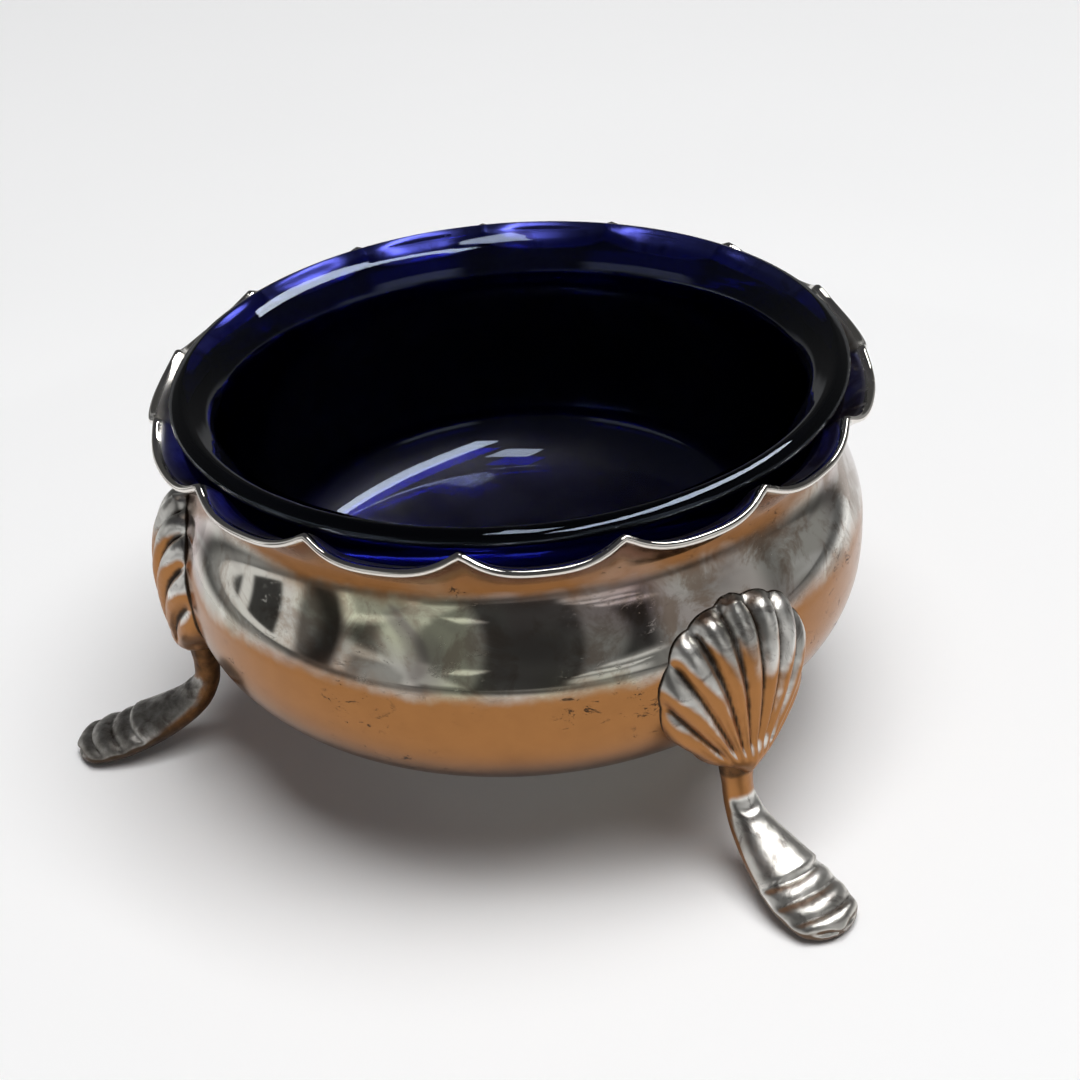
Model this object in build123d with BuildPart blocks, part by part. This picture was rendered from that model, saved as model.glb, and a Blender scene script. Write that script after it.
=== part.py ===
from build123d import *
import os
from math import cos, pi, radians, sin

# Salt cellar: a round silver bowl with a scalloped rim on three cabriole legs with shell knees,
# and a glass liner that lifts straight out. Millimetres, +Z up, origin on the table under the
# bowl's middle. The two front legs stand either side of -Y and the back leg on +Y.

# Glass liner
liner_radius = 27.4
lip_spread = 2.6
lip_width = 3.8
lip_fall = 1.9
lip_rise = 1.5
liner_wall = 2.4
liner_floor = 2.8
liner_gap = 0.3
lip_gap = 0.3
base_gap = 1.6

# Silver bowl
wall = 0.8
rim_wall = 1.2
stand_height = 7.4
belly_swell = 2.6
belly_depth = 14.4
belly_power = 2.9
neck_rise = 10.0
rim_rise = 4.4
rim_trim = 0.2
lobes = 15
lobe_swell = 1.0
lobe_drop = 1.4
lobe_turn = 6.0

# Shell knees
shell_width = 15.4
shell_proud = 2.8
shell_above = 5.4
shell_below = 11.0
shell_sink = 4.0
groove_depth = 0.6
groove_angle = 1.4
groove_fan = (5, 15, 26, 38)
upright_angle = 90
hinge_drop = 1.0

# Legs and feet
leg_turns = {"left": 210, "right": -30, "back": 90}
leg_inset = 0.45
ankle_thick = 2.4
ankle_width = 3.1
toe_spread = 13.2
foot_width = 7.0
foot_thick = 2.8
step_depth = 0.4
step_width = 0.4
step_centre = 0.2
step_reach = (0.89, 0.76, 0.62)
sole_thick = 0.8

# Heights and radii that follow
belly_height = stand_height + belly_depth
neck_height = belly_height + neck_rise
rim_height = neck_height + rim_rise
lip_height = rim_height + lip_rise
liner_depth = belly_depth - wall - base_gap
lip_radius = liner_radius + lip_spread
neck_radius = liner_radius + liner_gap + wall
belly_radius = neck_radius + belly_swell
rim_radius = lip_radius + lip_gap + rim_wall
lobe_radius = rim_radius + lobe_swell
lobe_pitch = 360 / lobes
lobe_start = leg_turns["right"] + lobe_turn
shell_foot = belly_height - shell_below
shell_height = shell_below + shell_above
leg_radius = belly_radius - leg_inset
toe_radius = belly_radius + toe_spread
leg_reach = toe_radius - leg_radius

# How the rim flares: share of the rise from neck to rim, then shares of the spread at a cusp
# and in the middle of a lobe, which turns out lower and further
flare = ((0, 0, 0), (0.35, 0.08, 0.15), (0.7, 0.40, 1), (1, 1, 1.25))

# The shell from its foot to its top: shares of its height, of how far it stands proud,
# of its width and of how deep it sinks into the bowl
shell_form = (
    (0, 0.36, 0.33, 0.45),
    (0.15, 0.65, 0.60, 0.62),
    (0.35, 0.92, 0.90, 0.86),
    (0.60, 1, 1, 1),
    (0.80, 0.78, 0.84, 0.92),
    (0.92, 0.42, 0.56, 0.65),
    (1, 0, 0.20, 0.35),
)

# The leg from under its shell to the toe: shares of its reach and of the shell foot's height,
# the shares of its reach that it runs out for each share of that height, and how far it has
# turned from ankle to foot in thickness and in width
leg_form = (
    (0, 1, 0, 0, 0),
    (0, 0.80, 0.06, 0, 0),
    (0.05, 0.57, 0.38, 0, 0.02),
    (0.20, 0.39, 1.17, 0.4, 0.25),
    (0.43, 0.25, 2.11, 0.9, 0.70),
    (0.67, 0.12, 3.42, 1, 1),
    (0.87, 0.08, 4.02, 0.2, 0.75),
    (0.985, 0.05, 6.07, -3, -0.15),
)


def belly_line(radius, depth):
    """Points of a full-sided, flat-bottomed belly, from the axis out to its widest line."""
    power = 2 / belly_power
    turns = [pi / 24 * k for k in range(13)]
    return [(radius * sin(a) ** power, belly_height - depth * cos(a) ** power) for a in turns]


def at_angle(radius, degrees):
    """Point on a circle about the bowl's axis."""
    return (radius * cos(radians(degrees)), radius * sin(radians(degrees)))


def lobed(cusp, middle, height):
    """Level wire of arcs that meet at cusps on one radius and swell to another between them."""
    arcs = []
    for k in range(lobes):
        start = lobe_start + k * lobe_pitch
        bends = ((cusp, 0), (middle, lobe_pitch / 2), (cusp, lobe_pitch))
        arcs.append(ThreePointArc(*[(*at_angle(out, start + turn), height) for out, turn in bends]))
    return Wire(arcs)


def flared(low, cusp, middle):
    """Solid that rises from the neck to just past the cusps and spreads into lobes."""
    rise = rim_rise + rim_trim
    return Solid.make_loft(
        [
            lobed(low + (cusp - low) * at_cusp, low + (middle - low) * at_middle, neck_height + rise * up)
            for up, at_cusp, at_middle in flare
        ]
    )


def shell_sections(inset):
    """Level ovals of the shell knee, drawn in by the inset."""
    sections = []
    for up, proud, wide, deep in shell_form:
        sink = shell_sink * deep
        with BuildSketch(Plane.XY.offset(shell_foot + shell_height * up)) as oval:
            with Locations((belly_radius + shell_proud * proud - sink, 0)):
                Ellipse(sink - inset, shell_width / 2 * wide - inset)
        sections.append(oval.sketch)
    return sections


def leg_sections(inset):
    """Ovals square to the leg's line, drawn in by the inset."""
    sections = []
    for out, up, run, thicker, wider in leg_form:
        across = Plane(
            origin=(leg_radius + leg_reach * out, 0, shell_foot * up),
            x_dir=(0, 1, 0),
            z_dir=(run * leg_reach, 0, -shell_foot),
        )
        wide = ankle_width + (foot_width - ankle_width) * wider
        thick = ankle_thick + (foot_thick - ankle_thick) * thicker
        with BuildSketch(across) as oval:
            Ellipse(wide / 2 - inset, thick / 2 - inset)
        sections.append(oval.sketch)
    return sections


os.makedirs("parts", exist_ok=True)

# The bowl: a raised belly and neck, the scalloped rim lofted on it, and a dip between cusps
rim_outside = flared(neck_radius, rim_radius, lobe_radius)
rim_inside = flared(neck_radius - wall, rim_radius - rim_wall, lobe_radius - rim_wall)
with BuildPart() as bowl:
    with BuildSketch(Plane.XZ):
        with BuildLine():
            Spline(belly_line(belly_radius, belly_depth), tangents=((1, 0), (0, 1)))
            Spline(
                (belly_radius, belly_height),
                (neck_radius, neck_height),
                tangents=((0, 1), (0, 1)),
            )
            Line((neck_radius, neck_height), (neck_radius - wall, neck_height))
            Spline(
                (belly_radius - wall, belly_height),
                (neck_radius - wall, neck_height),
                tangents=((0, 1), (0, 1)),
            )
            Spline(belly_line(belly_radius - wall, belly_depth - wall), tangents=((1, 0), (0, 1)))
            Line((0, stand_height), (0, stand_height + wall))
        make_face()
    revolve(axis=Axis.Z)
    add(rim_outside)
    add(rim_inside, mode=Mode.SUBTRACT)
    half_chord = rim_radius * sin(radians(lobe_pitch / 2))
    dip_radius = (half_chord**2 + lobe_drop**2) / (2 * lobe_drop)
    with Locations((0, 0, rim_height - lobe_drop + dip_radius)):
        with PolarLocations(rim_radius, lobes, start_angle=lobe_start + lobe_pitch / 2):
            Cylinder(dip_radius, neck_radius / 2, rotation=(0, 90, 0), mode=Mode.SUBTRACT)
bowl.part.label = "bowl"
export_step(bowl.part, "parts/bowl.step")

# The space that the bowl's outside takes up, for seating the knees on it
with BuildPart() as bowl_space:
    with BuildSketch(Plane.XZ):
        with BuildLine():
            Spline(belly_line(belly_radius, belly_depth), tangents=((1, 0), (0, 1)))
            Spline(
                (belly_radius, belly_height),
                (neck_radius, neck_height),
                tangents=((0, 1), (0, 1)),
            )
            Polyline((neck_radius, neck_height), (0, neck_height), (0, stand_height))
        make_face()
    revolve(axis=Axis.Z)

# The glass liner: it drops through the neck and hangs by its lip on the flare of the rim
with BuildPart() as glass_liner:
    well_radius = liner_radius - liner_wall
    lip_corner = (lip_radius - lip_width, lip_height - lip_fall)
    lip_crown = (lip_radius - lip_rise / 2, lip_height)
    with BuildSketch(Plane.XZ):
        with BuildLine():
            Spline(belly_line(liner_radius, liner_depth), tangents=((1, 0), (0, 1)))
            Line((liner_radius, belly_height), (liner_radius, neck_height))
            under_lip = Spline(
                [
                    (liner_radius + (lip_spread - lip_rise / 4) * out, neck_height + rim_rise * up)
                    for up, out, _ in flare
                ],
                tangents=((0, 1), (1, 1)),
            )
            ThreePointArc(under_lip @ 1, (lip_radius, rim_height + lip_rise / 2), lip_crown)
            Line(lip_crown, lip_corner)
            Spline(lip_corner, (well_radius, neck_height), tangents=((-0.4, -1), (0, -1)))
            Line((well_radius, neck_height), (well_radius, belly_height))
            Spline(belly_line(well_radius, liner_depth - liner_floor), tangents=((1, 0), (0, 1)))
            Line((0, belly_height - liner_depth), (0, belly_height - liner_depth + liner_floor))
        make_face()
    revolve(axis=Axis.Z)
glass_liner.part.label = "glass_liner"
export_step(glass_liner.part, "parts/glass_liner.step")

# One shell knee on +X: an oval dome whose flutes fan out from a hinge, seated on the belly
with BuildPart() as knee:
    loft(shell_sections(0))
    with BuildSketch(Plane.YZ):
        for middle in groove_fan:
            for side in (upright_angle - middle, upright_angle + middle):
                flanks = (side - groove_angle, side + groove_angle)
                tips = [at_angle(2 * shell_height, flank) for flank in flanks]
                with Locations((0, shell_foot - hinge_drop)):
                    Polygon((0, 0), *tips, align=None)
    extrude(amount=2 * belly_radius, mode=Mode.SUBTRACT)
    loft(shell_sections(groove_depth))
    add(bowl_space.part, mode=Mode.SUBTRACT)

# One leg on +X: a thin ankle under the shell that sweeps out to a foot with stepped toes
with BuildPart() as cabriole:
    loft(leg_sections(0))
    with BuildSketch(Plane.XY.offset(sole_thick)):
        with Locations((leg_radius + leg_reach * step_centre, 0)):
            for reach in step_reach:
                across = leg_reach * (reach - step_centre)
                Circle(across + step_width / 2)
                Circle(across - step_width / 2, mode=Mode.SUBTRACT)
    extrude(amount=shell_foot / 2, mode=Mode.SUBTRACT)
    loft(leg_sections(step_depth))
    split(bisect_by=Plane.XY, keep=Keep.TOP)

# Each knee and each leg is a casting of its own, turned to its place round the bowl
for side, turn in leg_turns.items():
    with BuildPart() as shell:
        add(knee.part, rotation=(0, 0, turn))
    shell.part.label = f"shell_{side}"
    export_step(shell.part, f"parts/shell_{side}.step")
    with BuildPart() as leg:
        add(cabriole.part, rotation=(0, 0, turn))
    leg.part.label = f"leg_{side}"
    export_step(leg.part, f"parts/leg_{side}.step")
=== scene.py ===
from math import cos, pi, radians, sin

import bpy
import numpy as np
from mathutils import Matrix, Vector


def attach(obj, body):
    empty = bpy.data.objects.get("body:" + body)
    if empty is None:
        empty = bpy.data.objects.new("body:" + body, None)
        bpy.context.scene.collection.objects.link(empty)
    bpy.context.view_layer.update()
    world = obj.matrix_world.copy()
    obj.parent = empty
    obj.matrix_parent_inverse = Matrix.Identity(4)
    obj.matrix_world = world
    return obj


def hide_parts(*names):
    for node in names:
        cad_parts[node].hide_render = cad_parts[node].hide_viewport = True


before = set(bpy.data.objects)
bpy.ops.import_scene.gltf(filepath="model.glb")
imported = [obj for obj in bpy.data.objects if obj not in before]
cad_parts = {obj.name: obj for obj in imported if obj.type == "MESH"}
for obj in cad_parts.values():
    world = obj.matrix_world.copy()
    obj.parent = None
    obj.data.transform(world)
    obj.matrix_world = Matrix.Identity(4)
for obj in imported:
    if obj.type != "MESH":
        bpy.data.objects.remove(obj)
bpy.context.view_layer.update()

# Sizes of the cellar in millimetres, on its own axis, with the table at zero
BELLY_RADIUS, BELLY_HEIGHT, BELLY_DEPTH, BELLY_POWER = 31.1, 21.8, 14.4, 2.9
NECK_RADIUS, NECK_HEIGHT, WALL = 28.5, 31.8, 0.8
LOBES, FIRST_CUSP, CUSP_ROUND, EDGE_THICK = 15, -24.0, 0.03, 0.7
CUSP_RADIUS, CUSP_HEIGHT, LOBE_OUT, LOBE_DROP = 31.3, 36.2, 0.6, 1.5
LINER_RADIUS, LINER_DEPTH, WELL_RADIUS, WELL_DEPTH = 27.4, 12.0, 25.0, 9.2
SHELL_FOOT, SHELL_TALL, SHELL_PROUD, SHELL_SINK, SHELL_HALF_WIDTH = 10.8, 16.4, 2.8, 4.0, 7.7
HINGE_HEIGHT, KEEL_RISE, GROOVE_LOW, GROOVE_DEEPER = 9.8, 0.45, 0.35, 0.6
TONGUE_RISE, STEP_DEPTH, STEP_START, STEP_PITCH = 0.35, 0.34, 38.2, 2.1
TONGUE_EDGE, TOES_EDGE, SEAM_EDGE = (31.1, 31.9), (37.9, 38.35), (9.0, 10.4)
LEG_TURNS = {"left": 210, "right": -30, "back": 90}

# How the grooves of a shell are cut, and shares of the flare's spread and rise at which its curve is pulled
GROOVE_ROUND, GROOVE_POWER, GROOVE_GAIN = 0.03, 0.3, 1.53
FLARE_PULL = [0.15, 0.62]

# The glass from its widest line outside, over the lip, to the same line inside: radius and height
LINER_KNOTS = [
    (27.4, 21.8), (27.4, 25.2), (27.4, 28.6), (27.4, 31.8), (27.6, 33.4), (28.3, 34.95),
    (29.2, 35.95), (29.74, 36.33), (29.95, 36.68), (29.93, 37.0), (29.72, 37.25), (29.34, 37.48),
    (28.94, 37.62), (28.5, 37.5), (27.95, 37.2), (27.3, 36.8), (26.7, 36.37), (26.1, 35.7),
    (25.6, 34.9), (25.2, 33.6), (25.0, 31.8), (25.0, 28.5), (25.0, 25.2), (25.0, 21.8)]

# The leg from inside its shell to the toe: radius, height, half thickness and half width
LEG_STATIONS = [
    (31.3, 15.2, 1.5, 2.2), (30.8, 12.6, 1.45, 1.9), (30.62, 10.6, 1.3, 1.7), (30.6, 8.9, 1.2, 1.42),
    (30.9, 6.9, 1.2, 1.45), (32.3, 4.9, 1.35, 1.9), (35.3, 3.2, 1.55, 2.75), (38.9, 1.9, 1.55, 3.4),
    (42.0, 1.15, 1.35, 3.2), (43.1, 0.9, 1.1, 2.4), (43.7, 0.75, 0.75, 1.4), (43.92, 0.65, 0.35, 0.5)]

# The shell from its foot to its top: shares of its height, of how far it stands proud, of its half
# width and of how deep it sinks into the bowl
SHELL_FORM = [
    (0, 0.30, 0.08, 0.40), (0.06, 0.56, 0.26, 0.50), (0.15, 0.72, 0.58, 0.62), (0.35, 0.92, 0.90, 0.86),
    (0.60, 1, 1, 1), (0.80, 0.80, 0.86, 0.92), (0.92, 0.46, 0.60, 0.65), (1, 0, 0.10, 0.2)]

# Angles about the shell's hinge, and the rib's number there: grooves lie at the halves
RIB_ANGLES = [0, 5, 15, 26, 38, 52, 68, 90]
RIB_NUMBERS = [0, 0.5, 1.5, 2.5, 3.5, 4.5, 5.5, 6.5]

# Dark marks: patina in the steps of the feet, a painted shadow in the seam under the shell, and the least
# painted shade on each leg, most on the left
STEP_DIRT, SEAM_SHADOW = 0.95, 0.85
LEG_SHADE = {"left": 0.8, "right": 0.0, "back": 0.4}


# Shapes

def smooth_line(knots, count):
    """Catmull-Rom curve: between two knots, a cubic whose end slopes are half the chord across each."""
    knots = np.asarray(knots, float)
    padded = np.concatenate([2 * knots[:1] - knots[1:2], knots, 2 * knots[-1:] - knots[-2:-1]])
    along = np.linspace(0, len(knots) - 1, count)
    k = np.minimum(along.astype(int), len(knots) - 2)
    t = (along - k)[:, None]
    a, b, c, d = (padded[k + shift] for shift in range(4))
    square, cube = a - 2.5 * b + 2 * c - d / 2, 1.5 * (b - c) + (d - a) / 2
    return b + t * (c - a) / 2 + t**2 * square + t**3 * cube


def belly_line(radius, depth, count):
    """Superellipse from the axis to the widest line, over a quarter turn.

    Its points are radius * sin^q and height - depth * cos^q, where q is 2 over the belly's power.
    """
    turn = np.linspace(0, pi / 2, count)
    power = 2 / BELLY_POWER
    return np.stack([radius * np.sin(turn) ** power, BELLY_HEIGHT - depth * np.cos(turn) ** power], -1)


def spun(line, columns):
    """Each radius and height of a profile, carried round the axis: (r cos a, r sin a, z).

    The profile is one line for all columns, or has a line for each column.
    """
    turn = np.linspace(0, 2 * pi, columns, endpoint=False)
    r, z = line[..., 0], line[..., 1]
    if line.ndim == 2:
        r, z = np.repeat(r[:, None], columns, 1), np.repeat(z[:, None], columns, 1)
    return np.stack([r * np.cos(turn), r * np.sin(turn), z], -1)


def outward(grid):
    """Unit normals of a grid closed along its columns: the cross product of its two slopes."""
    wrapped = np.concatenate([grid[:, -1:], grid, grid[:, :1]], 1)
    down = np.gradient(grid, axis=0)
    across = np.gradient(wrapped, axis=1)[:, 1:-1]
    normal = np.cross(across, down)
    return normal / np.maximum(np.linalg.norm(normal, axis=-1, keepdims=True), 1e-9)


def bump_step(x, low, high):
    """Smooth step from 0 at low to 1 at high: 3t^2 - 2t^3."""
    t = np.clip((x - low) / (high - low), 0, 1)
    return t * t * (3 - 2 * t)


def turned(points, degrees):
    """Points turned about the cellar's axis."""
    c, s = cos(radians(degrees)), sin(radians(degrees))
    return points @ np.array([[c, s, 0], [-s, c, 0], [0, 0, 1]])


def add_mesh(name, points, faces):
    """Object of a mesh whose points are given in millimetres."""
    mesh = bpy.data.meshes.new(name)
    mesh.from_pydata((points.reshape(-1, 3) * 0.001).tolist(), [], faces)
    piece = bpy.data.objects.new(name, mesh)
    bpy.context.scene.collection.objects.link(piece)
    return piece


def add_mark(piece, name, values):
    """Value that the mesh carries point by point, for its material."""
    data = np.asarray(values).astype(np.float32)
    piece.data.attributes.new(name, "FLOAT", "POINT").data.foreach_set("value", data)


def ring_quads(rows, columns):
    """Point numbers of a grid closed along its columns, and its quads, each between two rows and columns."""
    k = np.arange(rows * columns).reshape(rows, columns)
    after = np.roll(k, -1, 1)
    return k, np.stack([k[:-1], after[:-1], after[1:], k[1:]], -1).reshape(-1, 4)


def closed_skin(name, grid, marks):
    """Mesh of a grid closed along its columns, whose first and last rows each shut in a pole.

    The faces turn outwards: they are reversed where the volume, summed over the tetrahedra between the
    origin and each half quad, comes out negative.
    """
    k, quads = ring_quads(*grid.shape[:2])
    first, last = np.full(len(k[0]), k.size), np.full(len(k[0]), k.size + 1)
    caps = np.concatenate([np.stack([first, np.roll(k[0], -1), k[0]], -1),
                           np.stack([last, k[-1], np.roll(k[-1], -1)], -1)])
    points = np.concatenate([grid.reshape(-1, 3), grid[:1].mean(1), grid[-1:].mean(1)])
    a, b, c, d = (points[quads[:, corner]] for corner in range(4))
    volume = (a * (np.cross(b, c) + np.cross(c, d))).sum()
    way = 1 if volume > 0 else -1
    piece = add_mesh(name, points, quads[:, ::way].tolist() + caps[:, ::way].tolist())
    piece.data.shade_smooth()
    for mark, values in marks.items():
        add_mark(piece, mark, np.concatenate([np.ravel(values), [values[0].mean(), values[-1].mean()]]))
    return piece


def bowl_grid(columns):
    """Profile of belly, neck and flare, spun round; past the neck each column has its own flare.

    The lobe weight is 1 - (1 - s)^3 of the distance s to the nearest cusp, a little rounded at the cusp.
    The rim's edge moves out and down with that weight, and a quadratic curve joins it to the neck, outside
    and inside. The marks say where the rim's edge gets a painted highlight and how far inside the bowl a
    point lies.
    """
    turn = np.linspace(0, 360, columns, endpoint=False)
    share = (turn - FIRST_CUSP) * LOBES / 360 % 1
    near = 2 * np.minimum(share, 1 - share)
    near = np.sqrt(near**2 + CUSP_ROUND**2) - CUSP_ROUND
    weight = 1 - (1 - near) ** 3
    edge = np.stack([CUSP_RADIUS + LOBE_OUT * weight, CUSP_HEIGHT - LOBE_DROP * weight], -1)

    def flare(neck, end, count):
        """Quadratic curve from the neck, near upright there, to the rim's edge, and its way at the edge."""
        start = np.broadcast_to([neck, NECK_HEIGHT], end.shape)
        pull = start + (end - start) * FLARE_PULL
        t = np.linspace(0, 1, count)[:, None, None]
        return (1 - t) ** 2 * start + 2 * t * (1 - t) * pull + t**2 * end, end - pull

    def waist(offset, count):
        """Smooth step in radius from the widest line up to the neck."""
        up = np.linspace(0, 1, count)
        radius = BELLY_RADIUS + (NECK_RADIUS - BELLY_RADIUS) * bump_step(up, 0, 1) - offset
        return np.stack([radius, BELLY_HEIGHT + (NECK_HEIGHT - BELLY_HEIGHT) * up], -1)

    outside, way = flare(NECK_RADIUS, edge, 26)
    way = way / np.linalg.norm(way, axis=-1, keepdims=True)
    inward = np.stack([-way[:, 1], way[:, 0]], -1)
    theta = np.linspace(0, pi, 11)[1:-1, None, None]
    lip = edge + EDGE_THICK / 2 * (inward - inward * np.cos(theta) + way * np.sin(theta))
    inside = flare(NECK_RADIUS - WALL, edge + EDGE_THICK * inward, 18)[0][::-1]
    low = np.concatenate([belly_line(BELLY_RADIUS, BELLY_DEPTH, 44)[1:], waist(0, 26)[1:-1]])
    back = np.concatenate([waist(WALL, 12)[::-1][1:-1],
                           belly_line(BELLY_RADIUS - WALL, BELLY_DEPTH - WALL, 24)[::-1][:-1]])
    low, back = (np.repeat(line[:, None], columns, 1) for line in (low, back))
    line = np.concatenate([low, outside, lip, inside, back])
    lip_start = len(low) + len(outside)
    lip_end = lip_start + len(lip)
    bright, inner = np.zeros(line.shape[:2]), np.zeros(line.shape[:2])
    # Painted highlight along the rim's edge
    bright[lip_start - 3:lip_end + 2] = 1
    # Inside the bowl, behind the glass: painted shade, and rougher metal
    inner[lip_end + 1:] = 0.5
    inner[lip_end + 7:] = 1
    return spun(line, columns), {"bright": bright, "inner": inner}


def liner_grid(columns):
    """Turned glass: superellipse outside, the smooth line through the knots, and superellipse inside."""
    line = np.concatenate([belly_line(LINER_RADIUS, LINER_DEPTH, 36)[1:-1], smooth_line(LINER_KNOTS, 130),
                           belly_line(WELL_RADIUS, WELL_DEPTH, 36)[::-1][1:-1]])
    return spun(line, columns)


def leg_grid(rows, columns):
    """Oval carried along the leg's line on +X, and its dark mark: patina in the steps and a painted shadow
    in the seam under the shell.

    Across the line, points are centre + half width * cos * Y + half thickness * sin * normal, and the sole
    is levelled off at the table. On top of the foot, bowed bands of x + cos^2 raise a tongue and cut steps
    before the toe, each a hollow of 1 - |sin|^0.8 between two ridges.
    """
    out, up, half_thick, half_wide = smooth_line(LEG_STATIONS, rows).T[..., None]
    slope = np.gradient(np.concatenate([out, up], 1), axis=0)
    slope /= np.linalg.norm(slope, axis=1, keepdims=True)
    turn = np.linspace(0, 2 * pi, columns, endpoint=False)
    thick = half_thick * np.sin(turn)
    grid = np.stack([out - slope[:, 1:] * thick, half_wide * np.cos(turn), up + slope[:, :1] * thick], -1)
    band = out + np.cos(turn) ** 2
    top = bump_step(np.sin(turn), -0.1, 0.5)
    toes = bump_step(band, *TOES_EDGE) * top
    tongue = (bump_step(band, *TONGUE_EDGE) * top - toes) * np.maximum(np.sin(turn), 0)
    hollow = toes * (1 - np.abs(np.sin(pi * (band - STEP_START) / STEP_PITCH)) ** 0.8)
    grid = grid + outward(grid) * (TONGUE_RISE * tongue - STEP_DEPTH * hollow)[..., None]
    grid[..., 2] = np.maximum(grid[..., 2], 0)
    # Patina in the steps of the toe, and a painted shadow in the seam under the shell
    return grid, np.maximum(STEP_DIRT * hollow, SEAM_SHADOW * bump_step(grid[..., 2], *SEAM_EDGE))


def shell_grid(rows, columns):
    """Level ovals stacked up the knee on +X, with flutes that fan out from the hinge, and their dark mark:
    patina in the grooves and a painted shadow along the border on the bowl.

    A rib's number comes from the angle about the hinge, and its height is a low power of cos^2(pi * number),
    a little rounded, so that broad ribs meet in narrow grooves, which deepen towards the top. The foot is
    left plain, with a keel of 1 - |sin|. The back stays within the bowl's wall, whose radius at a height is
    the superellipse or the waist above it.
    """
    share, out, wide, deep = smooth_line(SHELL_FORM, rows).T[..., None]
    height, sink = SHELL_FOOT + SHELL_TALL * share, SHELL_SINK * deep
    turn = np.linspace(-pi, pi, columns, endpoint=False)
    x = BELLY_RADIUS + SHELL_PROUD * out - sink + sink * np.cos(turn)
    y = SHELL_HALF_WIDTH * wide * np.sin(turn)
    grid = np.stack([x, y, height + 0 * turn], -1)
    number = np.interp(np.degrees(np.arctan2(np.abs(y), height - HINGE_HEIGHT)), RIB_ANGLES, RIB_NUMBERS)
    rib = (np.cos(pi * number) ** 2 + GROOVE_ROUND) / (1 + GROOVE_ROUND)
    groove = GROOVE_GAIN * (1 - rib**GROOVE_POWER)
    drop = np.clip((BELLY_HEIGHT - height) / BELLY_DEPTH, 0, 1)
    wall = BELLY_RADIUS * (1 - drop**BELLY_POWER) ** (1 / BELLY_POWER)
    wall = wall + (NECK_RADIUS - BELLY_RADIUS) * bump_step(height, BELLY_HEIGHT, NECK_HEIGHT)
    proud = np.hypot(x, y) - wall
    front = bump_step(proud, -0.5, 1.2) * bump_step(share, 0.10, 0.22)
    depth = (GROOVE_LOW + GROOVE_DEEPER * share) * front
    keel = KEEL_RISE * (1 - np.abs(np.sin(turn))) * bump_step(np.cos(turn), 0, 0.3)
    keel = keel * (1 - bump_step(share, 0.08, 0.24))
    grid = grid + outward(grid) * (keel - depth * groove)[..., None]
    radius = np.hypot(grid[..., 0], grid[..., 1])
    grid[..., :2] *= (np.maximum(radius, wall - WALL / 2) / radius)[..., None]
    # Painted shadow along the shell's border on the bowl
    border = 1 - bump_step(proud, 0.1, 0.55)
    return grid, np.maximum(groove * front, border)


# Materials

class Tone:
    """A node's output in one material. Arithmetic on it adds Math nodes, and node() adds any other."""

    def __init__(self, tree, socket=None):
        self.tree, self.socket = tree, socket

    def node(self, kind, settings=None, inputs=None, out=0):
        """Adds a node: its settings first, then the values or links of its sockets. Returns one output."""
        made = self.tree.nodes.new(kind)
        for name, value in (settings or {}).items():
            if name == "stops":
                ramp = made.color_ramp
                while len(ramp.elements) < len(value):
                    ramp.elements.new(0.5)
                for stop, (place, colour) in zip(ramp.elements, value):
                    stop.position, stop.color = place, colour
            else:
                setattr(made, name, value)
        for name, value in (inputs or {}).items():
            if isinstance(value, Tone):
                self.tree.links.new(value.socket, made.inputs[name])
            else:
                made.inputs[name].default_value = value
        return Tone(self.tree, made.outputs[out] if made.outputs else None)

    def math(self, operation, *values):
        """A Math node on numbers or tones."""
        return self.node("ShaderNodeMath", {"operation": operation}, dict(enumerate(values)))

    def __add__(self, other):
        return self.math("ADD", self, other)

    def __radd__(self, other):
        return self.math("ADD", other, self)

    def __sub__(self, other):
        return self.math("SUBTRACT", self, other)

    def __rsub__(self, other):
        return self.math("SUBTRACT", other, self)

    def __mul__(self, other):
        return self.math("MULTIPLY", self, other)

    def __rmul__(self, other):
        return self.math("MULTIPLY", other, self)

    def step(self, low, high):
        """Smooth step of this value between two others."""
        return self.node("ShaderNodeMapRange", {"interpolation_type": "SMOOTHSTEP"},
                         {"Value": self, "From Min": low, "From Max": high})

    def blend(self, low, high):
        """Mix of two colours by this value."""
        return self.node("ShaderNodeMix", {"data_type": "RGBA"}, {0: self, 6: low, 7: high}, out=2)

    def coords(self, kind="Object"):
        """The piece's own coordinates, or its normals."""
        return self.node("ShaderNodeTexCoord", out=kind)

    def noise(self, size, detail, rough, twist=0.0, flatten=1.0):
        """Noise of about the given size in millimetres, from 0 to 1 about a half, flattened along Z."""
        place = self.coords()
        if flatten != 1:
            place = self.node("ShaderNodeMapping", None, {"Vector": place, "Scale": (1, 1, flatten)})
        return self.node("ShaderNodeTexNoise", None, {
            "Vector": place, "Scale": 1000 / size,
            "Detail": detail, "Roughness": rough, "Distortion": twist})

    def mark(self, name):
        """A value that the mesh carries point by point."""
        return self.node("ShaderNodeAttribute", {"attribute_name": name}, out="Fac")

    def part(self, axis):
        """One of X, Y and Z of a vector."""
        return self.node("ShaderNodeSeparateXYZ", None, {0: self}, out=axis)

    def reach(self, axis):
        """The piece's own X, Y or Z in millimetres."""
        return self.coords().part(axis) * 1000


def new_finish(name):
    """An empty material, as a tone to build on."""
    material = bpy.data.materials.new(name)
    material.use_nodes = True
    material.node_tree.nodes.clear()
    return material, Tone(material.node_tree)


def close_finish(tone, inputs, volume=None):
    """Joins a Principled surface, and a volume if there is one, to the material's output."""
    surface = tone.node("ShaderNodeBsdfPrincipled", None, inputs)
    tone.node("ShaderNodeOutputMaterial", None,
              {"Surface": surface, **({"Volume": volume} if volume else {})})


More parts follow.
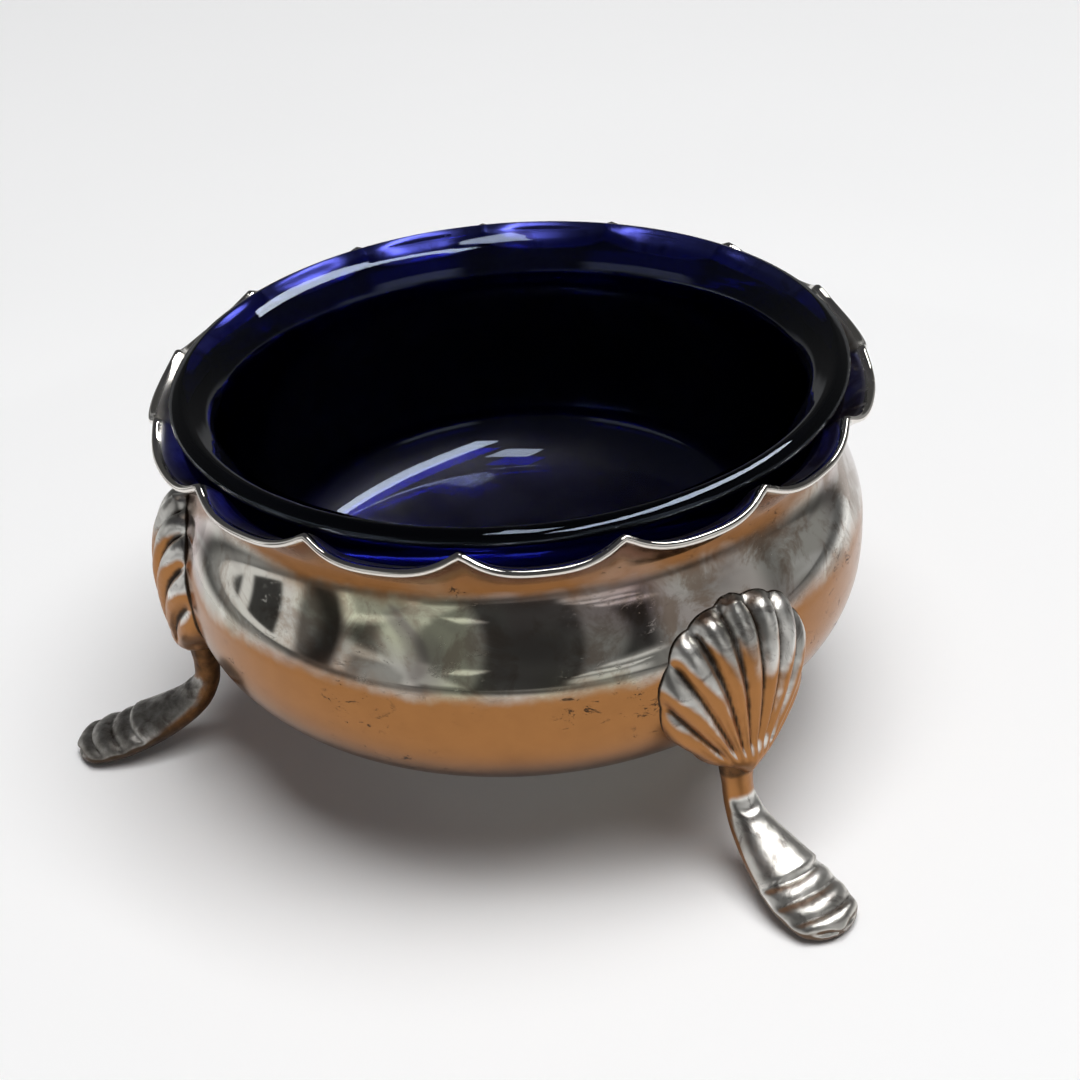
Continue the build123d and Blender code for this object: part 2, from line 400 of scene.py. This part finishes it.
def close_metal(tone, colour, rough, waves, strength, distance):
    """Joins a metal of this colour and roughness, with a bump of the waves, to the material's output."""
    wavy = tone.node("ShaderNodeBump", None, {"Strength": strength, "Distance": distance, "Height": waves})
    close_finish(tone, {"Base Color": colour, "Metallic": 1.0, "Roughness": rough, "Normal": wavy})


# Greys and tints of the painted reflections on the raised silver; SILVER_DARK also darkens patches of the
# castings
SILVER_LIGHT = (0.74, 0.725, 0.68, 1)
SILVER_DULL = (0.52, 0.505, 0.455, 1)
SILVER_DARK = (0.22, 0.195, 0.18, 1)
SILVER_GREEN = (0.56, 0.57, 0.42, 1)
SILVER_PLUM = (0.44, 0.34, 0.34, 1)
SILVER_BROWN = (0.24, 0.18, 0.135, 1)
# Painted highlight on the rim's edge
SILVER_EDGE_HIGHLIGHT = (0.85, 0.82, 0.77, 1)
# Painted shade inside the bowl, behind the glass
SILVER_INSIDE_SHADE = (0.06, 0.05, 0.042, 1)
CAST_DULL = (0.58, 0.565, 0.525, 1)
CAST_LIGHT = (0.86, 0.845, 0.80, 1)
# Painted amber reflection, of a warm table mirrored in metal that faces sideways or down
AMBER_REFLECTION = (0.37, 0.168, 0.058, 1)
# Darker painted reflection, of the table in shadow under the bowl
AMBER_REFLECTION_DARK = (0.10, 0.040, 0.013, 1)
# Darker brown of the painted reflection low on the castings, near the table
FLANK_BROWN = (0.12, 0.08, 0.055, 1)
TARNISH = (0.04, 0.027, 0.019, 1)
GLASS_SKIN = (0.55, 0.62, 1.0, 1)
GLASS_GLINT = (0.66, 0.78, 1.0, 1)
GLASS_BLUE = (0.02, 0.06, 0.85, 1)
PAPER_LOW = (0.95, 0.95, 0.95, 1)
PAPER_HIGH = (0.97, 0.97, 0.97, 1)

# Where the camera sees the bowl's left edge, the metal faces this way, and there the painted amber
# reflection reaches further up
LEFT_X, LEFT_Y = -0.889, -0.458


def reflection_patches(tone, size):
    """Painted reflections on the silver: soft patches that lean to green or to plum, browner and greener on
    the right.

    Steps of one noise give the dark and the light patches, a ramp of a second one the tint, and a finer one,
    stepped, the brown.
    """
    right = tone.reach("X").step(14, 26)
    patch = tone.noise(size, 3, 0.5, 0.9, flatten=1.7)
    hue = tone.noise(size * 1.3, 2, 0.5, 0.4) + right * 0.08
    tint = tone.node("ShaderNodeValToRGB", {"stops": [
        (0.36, SILVER_PLUM), (0.46, SILVER_DULL), (0.54, SILVER_DULL), (0.62, SILVER_GREEN)]}, {"Fac": hue})
    dark = 1 - patch.step(0.30, 0.44)
    light = patch.step(0.57, 0.70)
    plain = light.blend((dark * 0.85).blend(tint, SILVER_DARK), SILVER_LIGHT)
    brown = (tone.noise(size * 0.3, 5, 0.65, 0.5) + right * 0.07).step(0.50, 0.66)
    return (brown * (right * 0.25 + 0.6)).blend(plain, SILVER_BROWN)


def amber_reflection(tone, broad, edge):
    """How much painted amber reflection a place gets: all of it where the metal faces sideways or down, with
    a ragged border.

    It is 1 minus a step of the normal's height, moved by noise and, on the left, downwards. The flat
    underside has none.
    """
    normal = tone.coords("Normal")
    facing = normal.part("Z")
    left = (normal.part("X") * LEFT_X + normal.part("Y") * LEFT_Y).step(0.88, 0.97)
    return (1 - (facing + (broad - 0.5) * edge - left * 0.5).step(0.06, 0.30)) * facing.step(-1.0, -0.93)


def raised_silver():
    """Old silver: painted reflections as patchy grey on top and amber below and in the neck, tarnish specks,
    a painted highlight on the edge and painted shade inside.

    Each is a mix by a stepped noise, a height or a mark, laid over the one before.
    """
    material, tone = new_finish("raised_silver")
    height = tone.reach("Z")
    neck = height.step(23, 28)
    broad = tone.noise(12, 4, 0.6, 0.4)
    fine = tone.noise(2.2, 5, 0.62)
    # Painted amber reflection where the metal faces sideways or down, lessened in patches at the neck
    amber = amber_reflection(tone, broad * 0.7 + fine * 0.3, 0.55)
    amber = amber * (1 - neck * tone.noise(14, 3, 0.5).step(0.45, 0.65) * 0.25)
    # Painted reflection, darker low on the belly, where the table under it lies in shadow, and partly darker
    # in the neck
    low = 1 - (height + (broad - 0.5) * 12).step(8, 17) * (1 - neck * 0.4)
    warm = (low * 0.85 + fine * 0.3).blend(AMBER_REFLECTION, AMBER_REFLECTION_DARK)
    with_amber_reflection = amber.blend(reflection_patches(tone, 15), warm)
    spots = tone.noise(1.9, 5, 0.8, 0.6, flatten=1.9).step(0.57, 0.64)
    speck = spots * tone.noise(9, 2, 0.5).step(0.46, 0.62)
    specked = (speck * (amber * 0.75 + 0.15)).blend(with_amber_reflection, TARNISH)
    # Painted highlight on the rim's edge and lip
    edged = (tone.mark("bright") * 0.85).blend(specked, SILVER_EDGE_HIGHLIGHT)
    # Painted shade on the inside of the bowl, behind the glass
    inside_shade = (fine * 0.5 + broad * 0.5).step(0.35, 0.65).blend(TARNISH, SILVER_INSIDE_SHADE)
    colour = tone.mark("inner").step(0.5, 1).blend(edged, inside_shade)
    rough = 0.025 + fine * 0.05 + amber * 0.15 + speck * 0.25 + tone.mark("inner") * 0.5
    close_metal(tone, colour, rough, tone.noise(9, 2, 0.4), strength=0.10, distance=0.0004)
    return material


def cast_silver():
    """Cast silver of the knees and feet: satin on top with dark patches, painted amber reflection below, and
    dark marks: patina in the grooves and steps, painted shadow at the seams and borders, painted shade over
    the legs.

    These marks are a step of the mesh's mark and a fine noise.
    """
    material, tone = new_finish("cast_silver")
    broad = tone.noise(5, 3, 0.55, 0.4)
    fine = tone.noise(1.1, 4, 0.6)
    grey = broad.step(0.40, 0.60).blend(CAST_DULL, CAST_LIGHT)
    grey = (tone.noise(2.4, 5, 0.65, 0.8).step(0.52, 0.64) * 0.7).blend(grey, SILVER_DARK)
    # Painted amber reflection, darker brown towards the table
    warm = tone.reach("Z").step(2, 5).blend(FLANK_BROWN, AMBER_REFLECTION)
    with_amber_reflection = amber_reflection(tone, broad, 0.5).blend(grey, warm)
    # Patina in grooves and steps, painted shadow at seams and borders, and painted shade over whole legs
    patina_shade = (tone.mark("recess") + (fine - 0.5) * 0.35).step(0.55, 1.0)
    colour = patina_shade.blend(with_amber_reflection, TARNISH)
    rough = 0.27 + fine * 0.12 + patina_shade * 0.25
    close_metal(tone, colour, rough, tone.noise(1.2, 3, 0.5), strength=0.22, distance=0.0003)
    return material


def blue_glass():
    """Dark blue glass: clear at its skin, blue through its thickness, with dust on the well's floor."""
    material, tone = new_finish("blue_glass")
    worn = 0.015 + tone.noise(3, 4, 0.6).step(0.5, 0.8) * 0.03
    film = (1 - tone.reach("Z").step(13, 19)) * (tone.noise(6, 4, 0.6).step(0.35, 0.65) * 0.5 + 0.5)
    volume = tone.node("ShaderNodeVolumeAbsorption", None, {"Color": GLASS_BLUE, "Density": 900.0})
    close_finish(tone, {
        "Base Color": GLASS_SKIN, "Roughness": worn, "IOR": 1.52, "Transmission Weight": 1.0,
        "Specular Tint": GLASS_GLINT, "Coat Weight": film, "Coat Roughness": 0.42}, volume)
    return material


def pale_paper():
    """Pale matt paper with a faint tooth."""
    material, tone = new_finish("pale_paper")
    shade = tone.noise(60, 2, 0.5).blend(PAPER_LOW, PAPER_HIGH)
    close_finish(tone, {"Base Color": shade, "Roughness": 0.85, "Specular IOR Level": 0.2})
    return material


# The cellar's pieces

raised, cast, glass = raised_silver(), cast_silver(), blue_glass()


def fit(piece, material, body, node):
    """Gives a piece its finish and the body that it rides on, and hides the CAD node that it stands for."""
    piece.data.materials.append(material)
    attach(piece, body)
    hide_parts(node)


fit(closed_skin("silver_bowl", *bowl_grid(LOBES * 26)), raised, "stand", "bowl")
fit(closed_skin("blue_liner", liner_grid(320), {}), glass, "liner", "glass_liner")
leg, leg_patina_and_shade = leg_grid(190, 64)
knee, knee_patina_and_shade = shell_grid(150, 200)
for side, turn in LEG_TURNS.items():
    # Each leg carries at least its share of painted shade, the left leg the most
    recess = {"recess": np.maximum(leg_patina_and_shade, LEG_SHADE[side])}
    piece = closed_skin(f"cabriole_{side}", turned(leg, turn), recess)
    fit(piece, cast, "stand", f"leg_{side}")
    piece = closed_skin(f"knee_{side}", turned(knee, turn), {"recess": knee_patina_and_shade})
    fit(piece, cast, "stand", f"shell_{side}")

# Floor, light and camera

FLOOR_HALF, FLOOR_DROP, FLOOR_POINTS = 1500, 0.05, 7
side = np.linspace(-FLOOR_HALF, FLOOR_HALF, FLOOR_POINTS)
x, y = np.meshgrid(side, side, indexing="ij")
k = np.arange(x.size).reshape(x.shape)
quads = np.stack([k[:-1, :-1], k[1:, :-1], k[1:, 1:], k[:-1, 1:]], -1).reshape(-1, 4)
floor = add_mesh("paper_floor", np.stack([x, y, 0 * x - FLOOR_DROP], -1), quads.tolist())
floor.data.materials.append(pale_paper())

# Greys of the dome, by the height of the look: pale at the horizon and dark above
SKY = [(0.0, (0.92, 0.92, 0.92, 1)), (0.10, (0.85, 0.85, 0.86, 1)),
       (0.26, (0.09, 0.09, 0.095, 1)), (1.0, (0.04, 0.04, 0.045, 1))]
world = bpy.data.worlds.new("studio")
world.use_nodes = True
world.node_tree.nodes.clear()
sky = Tone(world.node_tree)
dome = sky.node("ShaderNodeValToRGB", {"stops": SKY}, {"Fac": sky.coords("Generated").part("Z")})
glow = sky.node("ShaderNodeBackground", None, {"Color": dome, "Strength": 1.0})
sky.node("ShaderNodeOutputWorld", None, {"Surface": glow})
bpy.context.scene.world = world


def placed(place, right, up, back):
    """Matrix of something at a place, from the directions of its X, Y and Z."""
    return Matrix.Translation(place) @ Matrix((right, up, back)).transposed().to_4x4()


def softbox(name, place, along, size, power, seen=True, spread=True):
    """A flat lamp with its length along a given line, rolled about it to face the cellar.

    One that isn't seen leaves no glint in glass or metal, and one without spread leaves the paper unlit.
    """
    lamp = bpy.data.lights.new(name, "AREA")
    lamp.shape, lamp.size, lamp.size_y, lamp.energy = "RECTANGLE", *size, power
    box = bpy.data.objects.new(name, lamp)
    long = Vector(along).normalized()
    away = Vector(place) - long * long.dot(Vector(place))
    away.normalize()
    box.matrix_world = placed(place, long, away.cross(long), away)
    box.visible_glossy = box.visible_transmission = seen
    box.visible_diffuse = spread
    bpy.context.scene.collection.objects.link(box)


softbox("long_tube", (0.30, 0.32, 0.95), (0, 1, 0), (1.2, 0.15), 6.2, spread=False)
softbox("crown_box", (0.0, 0.0, 1.0), (1, 0, 0), (0.16, 0.16), 0.6)
softbox("broad_fill", (0.27, -0.09, 1.15), (0.09, 0.27, 0), (0.9, 0.9), 14.0, seen=False)

# Cards on the ring, each laid over those before it: middle and half width in degrees, foot and top in
# millimetres, grey, slant in degrees for each millimetre up, and softness of its edges
CARDS = [
    (-154, 21, 0, 52, 0.98, 0.0, 2), (-163, 5.5, 7, 34, 0.06, 0.1, 1), (-147, 6, 7, 36, 0.06, 0.1, 1),
    (-125, 7, 0, 70, 0.05, 0.2, 4), (-108, 13, 0, 33, 0.95, 0.1, 2), (-108, 9, 0, 27, 0.42, 0.1, 2),
    (-88, 6, 6, 48, 0.65, -0.4, 3), (-66, 14, 0, 62, 0.07, 0.1, 2), (-84, 4, 26, 32, 0.90, 0.9, 1),
    (-42, 11, 2, 12, 0.80, 0.0, 3), (-44, 9, 15, 19, 0.95, 1.5, 1), (-36, 10, 23, 27, 0.85, 1.2, 1),
    (-30, 9, 30, 50, 0.05, 0.3, 3), (-124, 24, 58, 112, 0.55, 0.0, 5), (-26, 18, 58, 112, 0.70, 0.0, 5),
    (-8, 18, 0, 66, 0.50, 0.0, 4), (30, 16, 0, 44, 0.36, 0.3, 5), (54, 8, 8, 40, 0.32, -0.3, 4),
    (84, 14, 0, 22, 0.10, 0.2, 4), (112, 12, 0, 34, 0.80, 0.2, 3), (146, 16, 0, 28, 0.12, -0.2, 4),
    (172, 9, 6, 40, 0.70, 0.2, 3)]
RING_RADIUS, RING_TOP, RING_GREY, RING_FALL = 160, 150, 0.24, 0.18
SKIRT_START, SKIRT_END, SKIRT_PALE, SKIRT_WAVE = 95, 158, 0.95, 0.12


def card_ring(columns, rows):
    """Strip that lies on the floor round the cellar and turns upright, and its greys.

    A card covers the angles within half its width of its middle, which slants with height, from its foot to
    its top. Its cover is the product of four smooth steps, one at each edge. On the floor, the grey falls by
    a smooth step from pale to the ring's own, with a slight wave.
    """
    turn = np.linspace(-180, 180, columns, endpoint=False)
    up = np.linspace(0.2, RING_TOP, rows)[:, None]
    grey = RING_GREY - RING_FALL * bump_step(up, 48, 62) + 0 * turn
    for middle, half, foot, top, tone, slant, soft in CARDS:
        off = np.abs((turn - middle - slant * (up - foot) + 180) % 360 - 180)
        cover = (1 - bump_step(off, half - soft, half + soft)) * (1 - bump_step(up, top - soft, top + soft))
        grey = grey + (tone - grey) * cover * bump_step(up, foot - soft, foot + soft)
    skirt = np.linspace(SKIRT_START, SKIRT_END, 12)[:, None]
    low = SKIRT_PALE + (RING_GREY - SKIRT_PALE) * bump_step(skirt, 98, 126)
    low = low + SKIRT_WAVE * np.sin(turn / 9 + skirt / 11)
    radius = np.concatenate([skirt, RING_RADIUS + 0 * up])
    height = np.concatenate([0 * skirt + 0.3, up + 0.2])
    angle = np.radians(turn)
    grid = np.stack([radius * np.cos(angle), radius * np.sin(angle), height + 0 * angle], -1)
    return grid, np.concatenate([low, grey])


# The ring shows only in glass and metal
grid, grey = card_ring(720, 100)
ring = add_mesh("card_ring", grid, ring_quads(*grey.shape)[1][:, [0, 3, 2, 1]].tolist())
add_mark(ring, "grey", grey.ravel())
material, tone = new_finish("grey_cards")
light = tone.node("ShaderNodeEmission", None, {"Color": tone.mark("grey"), "Strength": 1.0})
tone.node("ShaderNodeOutputMaterial", None, {"Surface": light})
ring.data.materials.append(material)
ring.visible_camera = ring.visible_diffuse = ring.visible_shadow = False

# The camera leans a little, as the photograph does
place, target, lean = Vector((0.08247, -0.1596, 0.1291)), Vector((0.0, 0.0035, 0.0165)), radians(-4.4)
look = (target - place).normalized()
level = look.cross(Vector((0, 0, 1))).normalized()
rise = level.cross(look)
right, up = level * cos(lean) + rise * sin(lean), rise * cos(lean) - level * sin(lean)
lens = bpy.data.cameras.new("camera")
lens.sensor_width, lens.lens, lens.clip_start = 36, 76, 0.005
camera = bpy.data.objects.new("camera", lens)
camera.matrix_world = placed(place, right, up, -look)
bpy.context.scene.collection.objects.link(camera)
bpy.context.scene.camera = camera
bpy.context.scene.view_settings.view_transform = "Standard"
